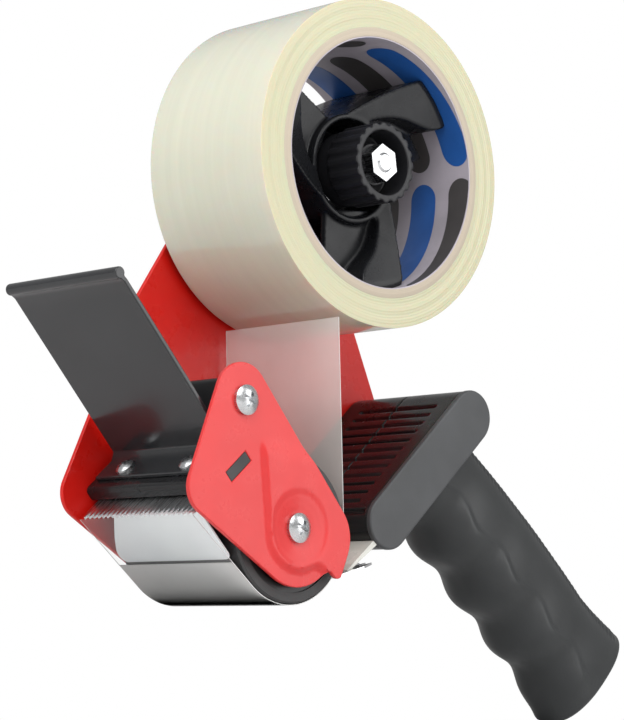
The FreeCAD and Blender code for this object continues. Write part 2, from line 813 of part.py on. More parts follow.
def along_grip(name, radius, start, length):
    """Cylinder down the middle of the grip."""
    piece = cylinder(name, radius, length)
    piece.Placement = FreeCAD.Placement(Vector(start, 0, 20.2), FreeCAD.Rotation(Vector(0, 1, 0), 90))
    return piece


stem_end = 86.0
stem_start = -19.2
stem_tube = along_grip("stem_tube", 7.0, stem_start, stem_end - stem_start)
stem_bore = along_grip("stem_bore", 2.6, stem_start - 1, stem_end - stem_start + 2)
stem_pocket = along_grip("stem_pocket", 4.6, stem_end - 6, 8)
stem = cut("grip_stem", stem_tube, fuse("stem_bores", [stem_bore, stem_pocket]))
stem.Label = "grip_stem"
finish(stem, GRIP)
bolt_shank = along_grip("bolt_shank", 2.5, stem_start + 1, stem_end - 6 - stem_start - 1)
bolt_head = along_grip("bolt_head", 4.2, stem_end - 6, 4.0)
bolt = fuse("grip_bolt", [bolt_shank, bolt_head])
bolt.Label = "grip_bolt"
finish(bolt, GRIP)


# ---------------------------------------------------------------- hub, brake and knob
HUB = local()
cup_floor = 12.0 - D.cup_depth
bush_outer = D.hub_axle_radius + D.hub_bush_wall
turned("hub_axle", [
    (0.0, -OUTSIDE - 2.1), (4.6, -OUTSIDE - 2.1), (5.2, -OUTSIDE - 1.4), (5.2, -OUTSIDE),
    (3.0, -OUTSIDE), (3.0, -SIDE), (D.hub_axle_radius, -SIDE + 0.02), (D.hub_axle_radius, 8.6),
    (3.0, 9.1), (3.0, 25.2), (2.4, 25.8), (0.0, 25.8),
], HUB)
turned("friction_disc", [
    (D.hub_axle_radius + 0.1, -SIDE + 0.05), (14.0, -SIDE + 0.05), (14.0, -SIDE + 0.95),
    (D.hub_axle_radius + 0.1, -SIDE + 0.95),
], HUB)
turned("hub_bush", [
    (D.hub_axle_radius + D.running_gap, -25.2), (bush_outer, -25.2), (bush_outer, cup_floor + 0.6),
    (D.hub_axle_radius + D.running_gap, cup_floor + 0.6),
], HUB)


def polar(radius, angle):
    turn = math.radians(angle)
    return Vector(radius * math.cos(turn), radius * math.sin(turn), 0)


def hub_body():
    """Spider that fills the tape core: a cupped barrel and three swept, paddle-shaped arms."""
    barrel_wall = 1.8
    outer = D.cup_radius + barrel_wall
    body = turned("hub_body", [
        (bush_outer, -25.2), (outer, -25.2), (outer, 12.0), (D.cup_radius, 12.0),
        (D.cup_radius, cup_floor), (bush_outer, cup_floor),
    ])
    reach = plain(D.hub_reach)
    ridge = [polar(15.9, 66), polar(20.5, 92), polar(28.0, 109), polar(reach, 121)]
    trailing = [polar(reach, 147), polar(32.0, 145), polar(26.5, 133), polar(21.0, 119), polar(15.9, 104)]
    arm = new_sketch(body, "XZ_Plane", -18.8)
    front_curve = Part.BSplineCurve()
    front_curve.interpolate(ridge)
    back_curve = Part.BSplineCurve()
    back_curve.interpolate(trailing)
    arm.addGeometry(front_curve)
    arm.addGeometry(Part.Arc(ridge[-1], polar(reach, 134), trailing[0]))
    arm.addGeometry(back_curve)
    arm.addGeometry(Part.LineSegment(trailing[-1], ridge[0]))
    paddle = pad(body, arm, 40.0)
    web = new_sketch(body, "XZ_Plane", -9.0)
    edge = [polar(15.9, 100), polar(33.0, 120), polar(34.0, 160), polar(15.9, 178)]
    for start, end in zip(edge, edge[1:] + edge[:1]):
        web.addGeometry(Part.LineSegment(start, end))
    plate = pad(body, web, 2.4)
    ring = body.newObject("PartDesign::PolarPattern", "hub_body_arms")
    ring.Originals = [paddle, plate]
    ring.Axis = (next(i for i in body.Origin.OriginFeatures if i.Role == "Y_Axis"), [""])
    ring.Angle = 360
    ring.Occurrences = 3
    body.Tip = ring
    doc.recompute()
    scoop = new_sketch(body, "XY_Plane")
    draw_polygon(scoop, [(14.0, 12.0), (16.5, 12.0), (36.5, 18.9), (36.5, 22.0), (14.0, 22.0)])
    cone = body.newObject("PartDesign::Groove", "hub_body_scoop")
    cone.Profile = scoop
    cone.ReferenceAxis = (scoop, ["V_Axis"])
    cone.Angle = 360
    before = ring.Shape.Volume
    doc.recompute()
    if cone.Shape.Volume > before - 1.0:
        raise ValueError("the hub's scoop cuts nothing")
    return finish(body, HUB)


hub_body()
spring_low = cup_floor + 1.0
turned("spring_seat", [
    (bush_outer + 0.1, cup_floor + 0.02), (8.6, cup_floor + 0.02), (8.6, spring_low),
    (bush_outer + 0.1, spring_low),
], HUB)
turned("pressure_washer", [
    (3.08, 11.0), (8.4, 11.0), (8.4, 12.4), (3.08, 12.4),
], HUB)


def brake_spring():
    """Open coil spring that presses the hub on the friction disc."""
    wire = plain(D.spring_wire)
    low = plain(spring_low) + wire / 2 + 0.05
    high = 11.0 - wire / 2 - 0.05
    turns = 5.5
    helix = Part.makeLongHelix((high - low) / turns, high - low, plain(D.spring_radius))
    start = Vector(plain(D.spring_radius), 0, 0)
    section = Part.Wire([Part.Circle(start, Vector(0, 1, 0), wire / 2).toShape()])
    coil = Part.Wire(helix).makePipeShell([section], True, True)
    spring = doc.addObject("Part::Feature", "brake_spring")
    spring.Label = "brake_spring"
    spring.Shape = coil
    turn = FreeCAD.Rotation(Vector(1, 0, 0), -90)
    return finish(spring, FreeCAD.Placement(Vector(0, low, 0), turn))


brake_spring()
KNOB_LOW = 12.7
KNOB_SKIRT = 5.7                       # hides the spring behind the knob


def tension_knob():
    """Fluted ring knob with a deep recess and a central seat for its nut."""
    body = new_body("tension_knob")
    blank = new_sketch(body, "XZ_Plane", -KNOB_LOW)
    draw_circle(blank, (0.0, 0.0), D.knob_radius)
    draw_circle(blank, (0.0, 0.0), 3.08)
    pad(body, blank, D.knob_length, backwards=True)
    flute = new_sketch(body, "XZ_Plane", -KNOB_LOW)
    draw_circle(flute, (D.knob_radius + 0.55, 0.0), 1.25)
    first = pocket(body, flute, D.knob_length)
    ring = body.newObject("PartDesign::PolarPattern", "knob_flutes")
    ring.Originals = [first]
    ring.Axis = (next(i for i in body.Origin.OriginFeatures if i.Role == "Y_Axis"), [""])
    ring.Angle = 360
    ring.Occurrences = DRIVING["knob_lobes"]
    body.Tip = ring
    doc.recompute()
    recess = new_sketch(body, "XZ_Plane", -(KNOB_LOW + D.knob_length))
    draw_circle(recess, (0.0, 0.0), 9.9)
    draw_circle(recess, (0.0, 0.0), 6.6)
    pocket(body, recess, 9.5, backwards=True)
    skirt = new_sketch(body, "XZ_Plane", -KNOB_LOW)
    draw_circle(skirt, (0.0, 0.0), 11.4)
    draw_circle(skirt, (0.0, 0.0), 9.2)
    pad(body, skirt, KNOB_SKIRT)
    seat = new_sketch(body, "XZ_Plane", -(KNOB_LOW + D.knob_length))
    draw_circle(seat, (0.0, 0.0), 7.0)
    pocket(body, seat, 5.0, backwards=True)
    return finish(body, HUB)


tension_knob()


def knob_nut():
    """Hexagon nut pressed on the knob's centre."""
    body = new_body("knob_nut")
    sketch = new_sketch(body, "XZ_Plane", -(KNOB_LOW + D.knob_length - 0.5))
    corner = plain(D.nut_flats) / math.sqrt(3)
    points = [polar(corner, 60 * number + 15) for number in range(6)]
    for start, end in zip(points, points[1:] + points[:1]):
        sketch.addGeometry(Part.LineSegment(start, end))
    draw_circle(sketch, (0.0, 0.0), 3.06)
    pad(body, sketch, 4.4)
    return finish(body, HUB)


knob_nut()


# ---------------------------------------------------------------- tape roll and tape run
half_tape = D.tape_width / 2


def sleeve(label, inner, outer):
    return turned(label, [(inner, -half_tape), (outer, -half_tape), (outer, half_tape), (inner, half_tape)], HUB)


core_inner = D.core_radius - D.core_wall
sleeve("core_liner", core_inner - D.liner_wall, core_inner)
sleeve("tape_core", core_inner, D.core_radius)
sleeve("tape_wound", D.core_radius, D.roll_radius)


def tangent_angle(point, side):
    """Angle round the roller at which a straight run from the point touches the tape's path."""
    dx, dz = point[0] - ROLLER_AT[0], point[1] - ROLLER_AT[1]
    reach = math.hypot(dx, dz)
    swing = math.acos((plain(D.roller_radius) + 0.3) / reach)
    return math.degrees(math.atan2(dz, dx) + side * swing)


def tape_web():
    """Single thickness of tape from the roll, round the roller, to the cutting edge."""
    radius = plain(D.roller_radius) + 0.3
    film = plain(D.film)
    centre = Vector(ROLLER_AT[0], ROLLER_AT[1], 0)
    start = Vector(PEEL_AT[0], PEEL_AT[1] - 2.1, 0)
    stop = Vector(BLADE_AT[0] + 0.4, BLADE_AT[1] - 0.6, 0)
    angle_in = tangent_angle(start, 1)
    angle_out = tangent_angle(stop, -1) + 360
    normal_in, normal_out = polar(1, angle_in), polar(1, angle_out)
    middle = polar(1, (angle_in + angle_out) / 2)
    body = new_body("tape_web")
    sketch = new_sketch(body)
    inner = [start, centre + normal_in * radius, centre + normal_out * radius, stop]
    shift = [normal_in, normal_in, normal_out, normal_out]
    outer = [point + along * film for point, along in zip(inner, shift)]
    sketch.addGeometry(Part.LineSegment(inner[0], inner[1]))
    sketch.addGeometry(Part.Arc(inner[1], centre + middle * radius, inner[2]))
    sketch.addGeometry(Part.LineSegment(inner[2], inner[3]))
    sketch.addGeometry(Part.LineSegment(inner[3], outer[3]))
    sketch.addGeometry(Part.LineSegment(outer[3], outer[2]))
    sketch.addGeometry(Part.Arc(outer[2], centre + middle * (radius + film), outer[1]))
    sketch.addGeometry(Part.LineSegment(outer[1], outer[0]))
    sketch.addGeometry(Part.LineSegment(outer[0], inner[0]))
    pad(body, sketch, D.tape_width, midplane=True)
    return finish(body)


tape_web()


# ---------------------------------------------------------------- tape comb behind the roller
COMB = local(3.6, -126.0, 201.7)       # x back and up towards the head


def rear_comb():
    """Thin steel comb across the tool that keeps the tape off the head."""
    body = new_body("rear_comb")
    sketch = new_sketch(body, "XY_Plane")
    half, prongs, root, tip = 23.0, 18, 12.0, 16.5
    pitch = 2 * half / prongs
    points = [Vector(0, half, 0), Vector(0, -half, 0)]
    for number in range(prongs):
        points.append(Vector(root, -half + number * pitch, 0))
        points.append(Vector(tip, -half + (number + 0.5) * pitch, 0))
    points.append(Vector(root, half, 0))
    for start, end in zip(points, points[1:] + points[:1]):
        sketch.addGeometry(Part.LineSegment(start, end))
    pad(body, sketch, 0.7)
    return finish(body, COMB)


rear_comb()


def comb_leaf():
    """Clear leaf that hangs the comb from the lower end of the head."""
    body = new_body("comb_leaf")
    sketch = new_sketch(body)
    draw_polygon(sketch, [(-12.6, -113.25), (-2.6, -123.49), (-4.6, -122.69), (-14.1, -114.25)])
    pad(body, sketch, 42.0, midplane=True)
    return finish(body)


comb_leaf()


# ---------------------------------------------------------------- checks and export
doc.recompute()
for thing in doc.Objects:
    bad = [word for word in thing.State if word in ("Invalid", "Error")]
    if bad:
        raise ValueError(f"{thing.Name} failed: {bad}")
for piece in finished:
    if piece.Shape.isNull() or not piece.Shape.isValid() or not piece.Shape.Solids:
        raise ValueError(f"{piece.Label} has no sound solid")

os.makedirs("parts", exist_ok=True)
whole = FreeCAD.BoundBox()
for piece in finished:
    piece.Shape.exportStep(f"parts/{piece.Label}.step")
    box = piece.Shape.optimalBoundingBox(False)
    whole.add(box)
    print(f"{piece.Label:18s} solids {len(piece.Shape.Solids)}  z from {box.ZMin:8.2f} to {box.ZMax:8.2f}")
print(f"whole x {whole.XMin:.2f} {whole.XMax:.2f}  y {whole.YMin:.2f} {whole.YMax:.2f}  "
      f"z {whole.ZMin:.2f} {whole.ZMax:.2f}  pieces {len(finished)}")
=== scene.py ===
# Looks for the tape gun.  The shapes are given in millimetres in the tool frame (hub axis at the
# origin, +X towards the cutter, +Y towards the side with the short plate, +Z up), and one rigid
# placement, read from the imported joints, turns the tool frame into the row frame.
import json
import math

import bmesh
import bpy
import numpy as np
from mathutils import Matrix, Vector
from mathutils.geometry import delaunay_2d_cdt

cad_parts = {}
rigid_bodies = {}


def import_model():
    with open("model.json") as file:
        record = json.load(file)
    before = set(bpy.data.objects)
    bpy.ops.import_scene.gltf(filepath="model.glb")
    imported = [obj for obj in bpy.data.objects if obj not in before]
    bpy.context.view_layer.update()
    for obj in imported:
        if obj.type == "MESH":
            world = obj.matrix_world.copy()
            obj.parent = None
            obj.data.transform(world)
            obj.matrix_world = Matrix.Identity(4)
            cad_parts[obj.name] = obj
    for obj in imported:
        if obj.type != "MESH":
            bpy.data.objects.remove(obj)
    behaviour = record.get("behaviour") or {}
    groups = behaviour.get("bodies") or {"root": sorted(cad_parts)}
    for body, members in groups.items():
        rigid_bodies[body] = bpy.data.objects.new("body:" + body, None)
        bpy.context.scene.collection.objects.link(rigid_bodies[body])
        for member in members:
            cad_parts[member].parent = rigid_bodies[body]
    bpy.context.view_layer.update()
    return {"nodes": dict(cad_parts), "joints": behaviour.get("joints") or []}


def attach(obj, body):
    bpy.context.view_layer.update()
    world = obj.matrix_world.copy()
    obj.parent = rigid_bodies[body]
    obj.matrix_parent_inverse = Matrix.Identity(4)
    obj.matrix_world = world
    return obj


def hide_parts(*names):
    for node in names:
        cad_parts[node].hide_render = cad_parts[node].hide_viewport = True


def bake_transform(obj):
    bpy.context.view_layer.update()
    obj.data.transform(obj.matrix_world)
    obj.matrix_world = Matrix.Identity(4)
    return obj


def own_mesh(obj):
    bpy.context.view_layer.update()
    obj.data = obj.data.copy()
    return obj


for leftover in list(bpy.data.objects):
    bpy.data.objects.remove(leftover)

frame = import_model()

MM = 0.001
ROLLER_AT = (25.6, -115.2)
joints = {joint["name"]: joint for joint in frame["joints"]}
hub_at = Vector(joints["hub_spin"]["pos_m"])
drop = Vector(joints["roller_spin"]["pos_m"]) - hub_at
LEAN = math.atan2(ROLLER_AT[1], ROLLER_AT[0]) - math.atan2(drop.z, drop.x)
ROW = Matrix.Translation(hub_at) @ Matrix.Rotation(LEAN, 4, "Y")


def local(x=0.0, z=0.0, tilt=0.0, y=0.0):
    """Rigid placement in the tool frame, millimetres and degrees."""
    return Matrix.Translation(Vector((x, y, z)) * MM) @ Matrix.Rotation(math.radians(tilt), 4, "Y")


def ease(value):
    """Smooth step from 0 to 1."""
    value = np.clip(value, 0.0, 1.0)
    return value * value * (3 - 2 * value)


# ---------------------------------------------------------------- materials
class Look:
    """A Principled material with helpers that add procedural detail in object coordinates."""

    def __init__(self, name, colour, roughness, metallic=0.0, **sockets):
        self.material = bpy.data.materials.new(name)
        self.material.use_nodes = True
        self.nodes = self.material.node_tree.nodes
        self.links = self.material.node_tree.links
        self.shader = self.nodes["Principled BSDF"]
        self.colour = (*colour, 1.0)
        self.roughness = roughness
        self.shader.inputs["Base Color"].default_value = self.colour
        self.shader.inputs["Roughness"].default_value = roughness
        self.shader.inputs["Metallic"].default_value = metallic
        for socket, value in sockets.items():
            self.shader.inputs[socket.replace("_", " ")].default_value = value
        self.coords = self.nodes.new("ShaderNodeTexCoord").outputs["Object"]
        self.heights = []

    def node(self, kind, **inputs):
        made = self.nodes.new(kind)
        for key, value in inputs.items():
            made.inputs[key].default_value = value
        return made

    def join(self, source, target):
        self.links.new(source, target)

    def stretched(self, scale):
        """Object coordinates multiplied by a scale for each axis (per metre)."""
        mapping = self.nodes.new("ShaderNodeMapping")
        mapping.inputs["Scale"].default_value = scale
        self.join(self.coords, mapping.inputs["Vector"])
        return mapping.outputs["Vector"]

    def noise(self, scale, detail=4.0, coords=None, rough=0.55):
        made = self.node("ShaderNodeTexNoise", Scale=scale, Detail=detail, Roughness=rough)
        self.join(coords or self.coords, made.inputs["Vector"])
        return made.outputs["Fac"]

    def remap(self, source, low, high, start=0.3, end=0.7):
        made = self.node("ShaderNodeMapRange")
        for key, value in zip(("From Min", "From Max", "To Min", "To Max"), (start, end, low, high)):
            made.inputs[key].default_value = value
        self.join(source, made.inputs["Value"])
        return made.outputs["Result"]

    def math(self, operation, first, second=None):
        made = self.nodes.new("ShaderNodeMath")
        made.operation = operation
        for slot, value in enumerate((first, second)):
            if value is None:
                continue
            if isinstance(value, (int, float)):
                made.inputs[slot].default_value = value
            else:
                self.join(value, made.inputs[slot])
        return made.outputs["Value"]

    def mix(self, factor, first, second):
        """Colour mix; each side is a colour or a socket."""
        made = self.nodes.new("ShaderNodeMix")
        made.data_type = "RGBA"
        self.join(factor, made.inputs["Factor"])
        for slot, value in ((6, first), (7, second)):
            if isinstance(value, tuple):
                made.inputs[slot].default_value = (*value[:3], 1.0)
            else:
                self.join(value, made.inputs[slot])
        return made.outputs[2]

    def tint(self, source, darker=0.85, lighter=1.12, start=0.3, end=0.7):
        """Varies the base colour a little with a 0 to 1 source."""
        low = tuple(channel * darker for channel in self.colour[:3])
        high = tuple(min(channel * lighter, 1.0) for channel in self.colour[:3])
        factor = self.remap(source, 0.0, 1.0, start, end)
        self.join(self.mix(factor, low, high), self.shader.inputs["Base Color"])
        return self

    def gloss(self, source, spread, start=0.3, end=0.7):
        """Varies the roughness round its set value."""
        low, high = max(self.roughness - spread, 0.02), self.roughness + spread
        self.join(self.remap(source, low, high, start, end), self.shader.inputs["Roughness"])
        return self

    def relief(self, source, depth):
        """Adds a bump of the given depth in millimetres."""
        bump = self.nodes.new("ShaderNodeBump")
        bump.inputs["Strength"].default_value = 1.0
        bump.inputs["Distance"].default_value = depth * MM
        self.join(source, bump.inputs["Height"])
        if self.heights:
            self.join(self.heights[-1], bump.inputs["Normal"])
        self.heights.append(bump.outputs["Normal"])
        self.join(bump.outputs["Normal"], self.shader.inputs["Normal"])
        return self


def paint(name, colour):
    """Gloss enamel on sheet steel: faint orange peel and dust."""
    look = Look(name, colour, 0.30, Coat_Weight=0.16, Coat_Roughness=0.09, Specular_IOR_Level=0.30)
    look.tint(look.noise(38.0), 0.93, 1.06)
    look.gloss(look.noise(160.0, 6.0), 0.06)
    look.relief(look.noise(700.0, 2.0), 0.012)
    look.relief(look.noise(60.0, 2.0), 0.05)
    return look.material


def moulded(name, colour, roughness, grain=0.02, size=1500.0, spread=0.07, **sockets):
    """Moulded plastic or rubber with a fine grain and handling marks."""
    look = Look(name, colour, roughness, **sockets)
    look.tint(look.noise(45.0, 6.0), 0.82, 1.2)
    look.gloss(look.noise(120.0, 8.0), spread)
    look.relief(look.noise(size, 3.0), grain)
    return look.material


def plated(name, colour, roughness, brushing=(900.0, 60.0, 900.0), depth=0.006):
    """Plated or ground steel with fine directional marks."""
    look = Look(name, colour, roughness, metallic=1.0)
    marks = look.noise(2.0, 5.0, look.stretched(brushing))
    look.tint(look.noise(220.0, 5.0), 0.84, 1.08)
    look.gloss(marks, 0.08)
    look.relief(marks, depth)
    return look.material


RED_NEAR = paint("red_near_paint", (0.64, 0.036, 0.036))
RED_FAR = paint("red_far_paint", (0.66, 0.010, 0.006))
BLACK_GLOSS = moulded("black_gloss", (0.010, 0.010, 0.011), 0.24, 0.006,
                       Coat_Weight=0.06, Coat_Roughness=0.08, Specular_IOR_Level=0.34)
BLACK_SATIN = moulded("black_satin", (0.014, 0.014, 0.015), 0.38, 0.012)
HUB_BLACK = moulded("hub_black", (0.010, 0.0105, 0.012), 0.27, 0.006, Specular_IOR_Level=0.26)
KNOB_BLACK = moulded("knob_black", (0.013, 0.013, 0.015), 0.36, 0.015, Specular_IOR_Level=0.36)
CAP_GREY = moulded("cap_grey", (0.045, 0.047, 0.05), 0.42, 0.02)
GRIP_GREY = moulded("grip_grey", (0.022, 0.024, 0.025), 0.42, 0.02, 1100.0)
FLAP_GREY = moulded("flap_grey", (0.020, 0.021, 0.023), 0.20, 0.004, spread=0.03, Coat_Weight=0.15,
                    Coat_Roughness=0.05)
RUBBER = moulded("roller_rubber", (0.045, 0.046, 0.047), 0.62, 0.04, 900.0)
ZINC = plated("bright_zinc", (0.62, 0.63, 0.64), 0.26)
BLADE_STEEL = plated("blade_steel", (0.70, 0.71, 0.72), 0.28, (60.0, 1400.0, 60.0))
COMB_STEEL = plated("comb_steel", (0.78, 0.78, 0.79), 0.16, (1200.0, 80.0, 1200.0))
SPRING_STEEL = plated("spring_steel", (0.62, 0.60, 0.55), 0.26)


def rings_of(look, scale):
    """Fine concentric layers about the Y axis of the piece, 0 to 1."""
    split = look.nodes.new("ShaderNodeSeparateXYZ")
    look.join(look.coords, split.inputs["Vector"])
    x, z = split.outputs["X"], split.outputs["Z"]
    radius = look.math("SQRT", look.math("ADD", look.math("MULTIPLY", x, x), look.math("MULTIPLY", z, z)))
    layered = look.nodes.new("ShaderNodeCombineXYZ")
    look.join(look.math("MULTIPLY", radius, scale), layered.inputs["X"])
    return look.noise(1.0, 7.0, layered.outputs["Vector"], 0.75)


def tape_end_look():
    look = Look("tape_end", (0.54, 0.52, 0.35), 0.34, Subsurface_Weight=0.35, Subsurface_Scale=0.004)
    layers = rings_of(look, 2600.0)
    look.tint(layers, 0.88, 1.10, 0.25, 0.75)
    look.gloss(layers, 0.12)
    look.relief(layers, 0.06)
    return look.material


def tape_side_look():
    look = Look("tape_side", (0.66, 0.66, 0.54), 0.16, Subsurface_Weight=0.45, Subsurface_Scale=0.006,
                Coat_Weight=0.5, Coat_Roughness=0.06)
    bands = look.noise(1.6, 5.0, look.stretched((6.0, 190.0, 6.0)))
    look.tint(bands, 0.97, 1.03)
    look.gloss(look.noise(40.0, 5.0), 0.05)
    look.relief(bands, 0.015)
    look.relief(look.noise(34.0, 3.0), 0.05)
    return look.material


def film_look(name, colour, alpha, roughness):
    look = Look(name, colour, roughness, Alpha=alpha, Coat_Weight=0.4, Coat_Roughness=0.04)
    look.tint(look.noise(30.0, 4.0), 0.94, 1.06)
    look.gloss(look.noise(90.0, 5.0), 0.04)
    look.relief(look.noise(26.0, 2.0), 0.03)
    return look.material


def board_look():
    look = Look("core_board", (0.50, 0.43, 0.34), 0.85)
    layers = rings_of(look, 2200.0)
    look.tint(layers, 0.72, 1.2, 0.3, 0.7)
    look.gloss(look.noise(300.0), 0.06)
    look.relief(look.noise(900.0, 5.0), 0.06)
    return look.material


TAPE_END = tape_end_look()
TAPE_SIDE = tape_side_look()
TAPE_WEB = film_look("tape_web_film", (0.90, 0.87, 0.83), 0.34, 0.12)
# darker, opaque grey copy of the tape film for the low wrap round the roller: painted shade
TAPE_WRAP_SHADED = film_look("tape_wrap_painted_shade", (0.62, 0.62, 0.61), 1.0, 0.36)
TAPE_CLEAR = film_look("tape_clear_film", (0.90, 0.90, 0.90), 0.08, 0.20)
KEEPER_FILM = film_look("keeper_film", (0.90, 0.95, 0.97), 1.0, 0.45)
LEAF_FILM = film_look("leaf_film", (0.72, 0.72, 0.66), 0.75, 0.30)
BOARD = board_look()
LINER = moulded("liner_paper", (0.42, 0.385, 0.43), 0.42, 0.02, 700.0)
PRINT_BLUE = moulded("print_blue", (0.018, 0.10, 0.36), 0.40, 0.01, 700.0)
PRINT_DARK = moulded("print_dark", (0.065, 0.06, 0.06), 0.40, 0.01, 700.0)


# ---------------------------------------------------------------- mesh helpers
def make(name, points, faces, where, body, look, hides=(), smooth=40.0):
    """Object from points in millimetres, placed in the tool frame; rides on a body."""
    mesh = bpy.data.meshes.new(name)
    mesh.from_pydata([Vector(p) * MM for p in points], [], faces)
    mesh.validate()
    made = bmesh.new()
    made.from_mesh(mesh)
    bmesh.ops.remove_doubles(made, verts=made.verts, dist=1e-7)
    bmesh.ops.recalc_face_normals(made, faces=made.faces)
    made.to_mesh(mesh)
    made.free()
    for material in look if isinstance(look, (list, tuple)) else [look]:
        mesh.materials.append(material)
    mesh.shade_smooth()
    mesh.set_sharp_from_angle(angle=math.radians(smooth))
    piece = bpy.data.objects.new(name, mesh)
    bpy.context.scene.collection.objects.link(piece)
    piece.matrix_world = ROW @ where
    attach(piece, body)
    if hides:
        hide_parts(*hides)
    return piece


def bevel(piece, width, segments=3, angle=35.0):
    mod = piece.modifiers.new("soft_edges", "BEVEL")
    mod.width = width * MM
    mod.segments = segments
    mod.limit_method = "ANGLE"
    mod.angle_limit = math.radians(angle)
    mod.harden_normals = True
    return piece


def rounded(corners, steps=8):
    """Outline through (x, z, radius) corners with tangent arcs."""
    count = len(corners)
    outline = []
    for number, (x, z, radius) in enumerate(corners):
        here = Vector((x, z))
        back = (Vector(corners[number - 1][:2]) - here).normalized()
        ahead = (Vector(corners[(number + 1) % count][:2]) - here).normalized()
        if radius <= 0:
            outline.append(here)
            continue
        half = math.acos(max(-1.0, min(1.0, back.dot(ahead)))) / 2
        middle = here + (back + ahead).normalized() * (radius / math.sin(half))
        start = here + back * (radius / math.tan(half)) - middle
        sweep = start.angle_signed(here + ahead * (radius / math.tan(half)) - middle)
        for step in range(steps + 1):
            turn = -sweep * step / steps
            outline.append(middle + Vector((start.x * math.cos(turn) - start.y * math.sin(turn),
                                            start.x * math.sin(turn) + start.y * math.cos(turn))))
    return outline


def prism(name, outline, low, high, where, body, look, hides=(), edge=0.4, cuts=()):
    """Outline in (x, z) pushed from y = low to y = high, with softened edges."""
    levels = [low, *cuts, high]
    count = len(outline)
    points = [(p[0], y, p[1]) for y in levels for p in outline]
    faces = [tuple(range(count)), tuple(range(len(points) - count, len(points)))]
    for level in range(len(levels) - 1):
        for number in range(count):
            after = (number + 1) % count
            base = level * count
            faces.append((base + number, base + after, base + count + after, base + count + number))
    piece = make(name, points, faces, where, body, look, hides)
    return bevel(piece, edge) if edge else piece


def spun(name, profile, where, body, look, hides=(), sides=128, shape=None, smooth=40.0):
    """Closed (radius, y) profile turned about the Y axis; shape(radius, angle, y) may alter it."""
    points = []
    count = len(profile)
    for side in range(sides):
        angle = 2 * math.pi * side / sides
        for radius, y in profile:
            reach = shape(radius, angle, y) if shape else radius
            points.append((reach * math.cos(angle), y, reach * math.sin(angle)))
    faces = []
    for side in range(sides):
        here, there = side * count, (side + 1) % sides * count
        for number in range(count):
            after = (number + 1) % count
            faces.append((here + number, here + after, there + after, there + number))
    return make(name, points, faces, where, body, look, hides, smooth)


def grid_faces(rows, columns, wrap=False):
    faces = []
    for row in range(rows - 1):
        for column in range(columns if wrap else columns - 1):
            after = (column + 1) % columns
            faces.append((row * columns + column, row * columns + after,
                          (row + 1) * columns + after, (row + 1) * columns + column))
    return faces


def outline_distance(points, outline):
    """Distance of each (x, z) point from a closed outline."""
    starts = np.array([tuple(p) for p in outline])
    ends = np.roll(starts, -1, axis=0)
    best = np.full(len(points), 1e9)
    for start, end in zip(starts, ends):
        along = end - start
        share = np.clip((points - start) @ along / max(along @ along, 1e-9), 0, 1)
        best = np.minimum(best, np.linalg.norm(points - start - share[:, None] * along, axis=1))
    return best


def inside(point, outline):
    hit = False
    for number in range(len(outline)):
        a, b = outline[number - 1], outline[number]
        if (a[1] > point[1]) != (b[1] > point[1]):
            if point[0] < (b[0] - a[0]) * (point[1] - a[1]) / (b[1] - a[1]) + a[0]:
                hit = not hit
    return hit


# ---------------------------------------------------------------- side plates
PLATE_FACE = 28.4
PLATE_WALL = 1.5
SLOT_AT = (50.1, -101.4)
BLADE_TILT = 47.2
LOBE = [(21.4, -135.9, 16.1), (12.7, -125.7, 0.8), (8.3, -128.8, 1.8)]
NEAR_OUTLINE = [(69.2, -113.1, 8.0)] + LOBE + [(3.8, -113.2, 12.0), (56.1, -63.0, 9.7)]
FAR_OUTLINE = [(70.2, -112.6, 8.0)] + LOBE + [
    (-4.0, -119.5, 6.0), (-20.5, -115.5, 8.0), (-60.5, -68.0, 7.0),
    (-9.5, 19.0, 17.5), (13.8, 19.0, 17.5), (48.6, -48.0, 20.0),
]


def slot_outline():
    turn = math.radians(-BLADE_TILT)
    corners = []
    for a, b in ((-4.8, -1.75), (4.8, -1.75), (4.8, 1.75), (-4.8, 1.75)):
        corners.append((SLOT_AT[0] + a * math.cos(turn) - b * math.sin(turn),
                        SLOT_AT[1] + a * math.sin(turn) + b * math.cos(turn)))
    return corners


def finely(outline, pitch):
    """The same closed outline with its long edges divided."""
    result = []
    for number, start in enumerate(outline):
        end = outline[(number + 1) % len(outline)]
        start, end = Vector(start), Vector(end)
        parts = max(1, round((end - start).length / pitch))
        result += [start.lerp(end, part / parts) for part in range(parts)]
    return result


# Steps of the dish round the roller screw: share of its depth, where it starts, how wide it is.
DISH_STEPS = [(0.30, 5.0, 1.6), (0.25, 7.4, 1.2), (0.45, 9.6, 1.8)]


def pressed(points, outline):
    """Height of the pressed panel round the roller screw, with a dish for the screw."""
    lower = [p for p in outline if p[1] < -113.5 and p[0] > 17.0]
    edge = np.min([np.linalg.norm(points - np.array(tuple(p)), axis=1) for p in lower], axis=0) - 4.2
    crease_start, crease_end = np.array((42.3, -96.3)), np.array((37.0, -121.0))
    along = (crease_end - crease_start) / np.linalg.norm(crease_end - crease_start)
    away = points - crease_start
    crease = away[:, 0] * along[1] - away[:, 1] * along[0]
    if (np.array(ROLLER_AT) - crease_start) @ np.array((along[1], -along[0])) < 0:
        crease = -crease
    soft = 4.0
    blend = np.clip(0.5 + 0.5 * (crease - edge) / soft, 0, 1)
    panel = crease * (1 - blend) + edge * blend - soft * blend * (1 - blend)
    height = ease(panel / 1.5 + 0.1) * ease((-91.0 - points[:, 1]) / 6.0)
    reach = np.linalg.norm(points - np.array(ROLLER_AT), axis=1)
    dish = sum(share * ease((reach - start) / width) for share, start, width in DISH_STEPS)
    return height * dish


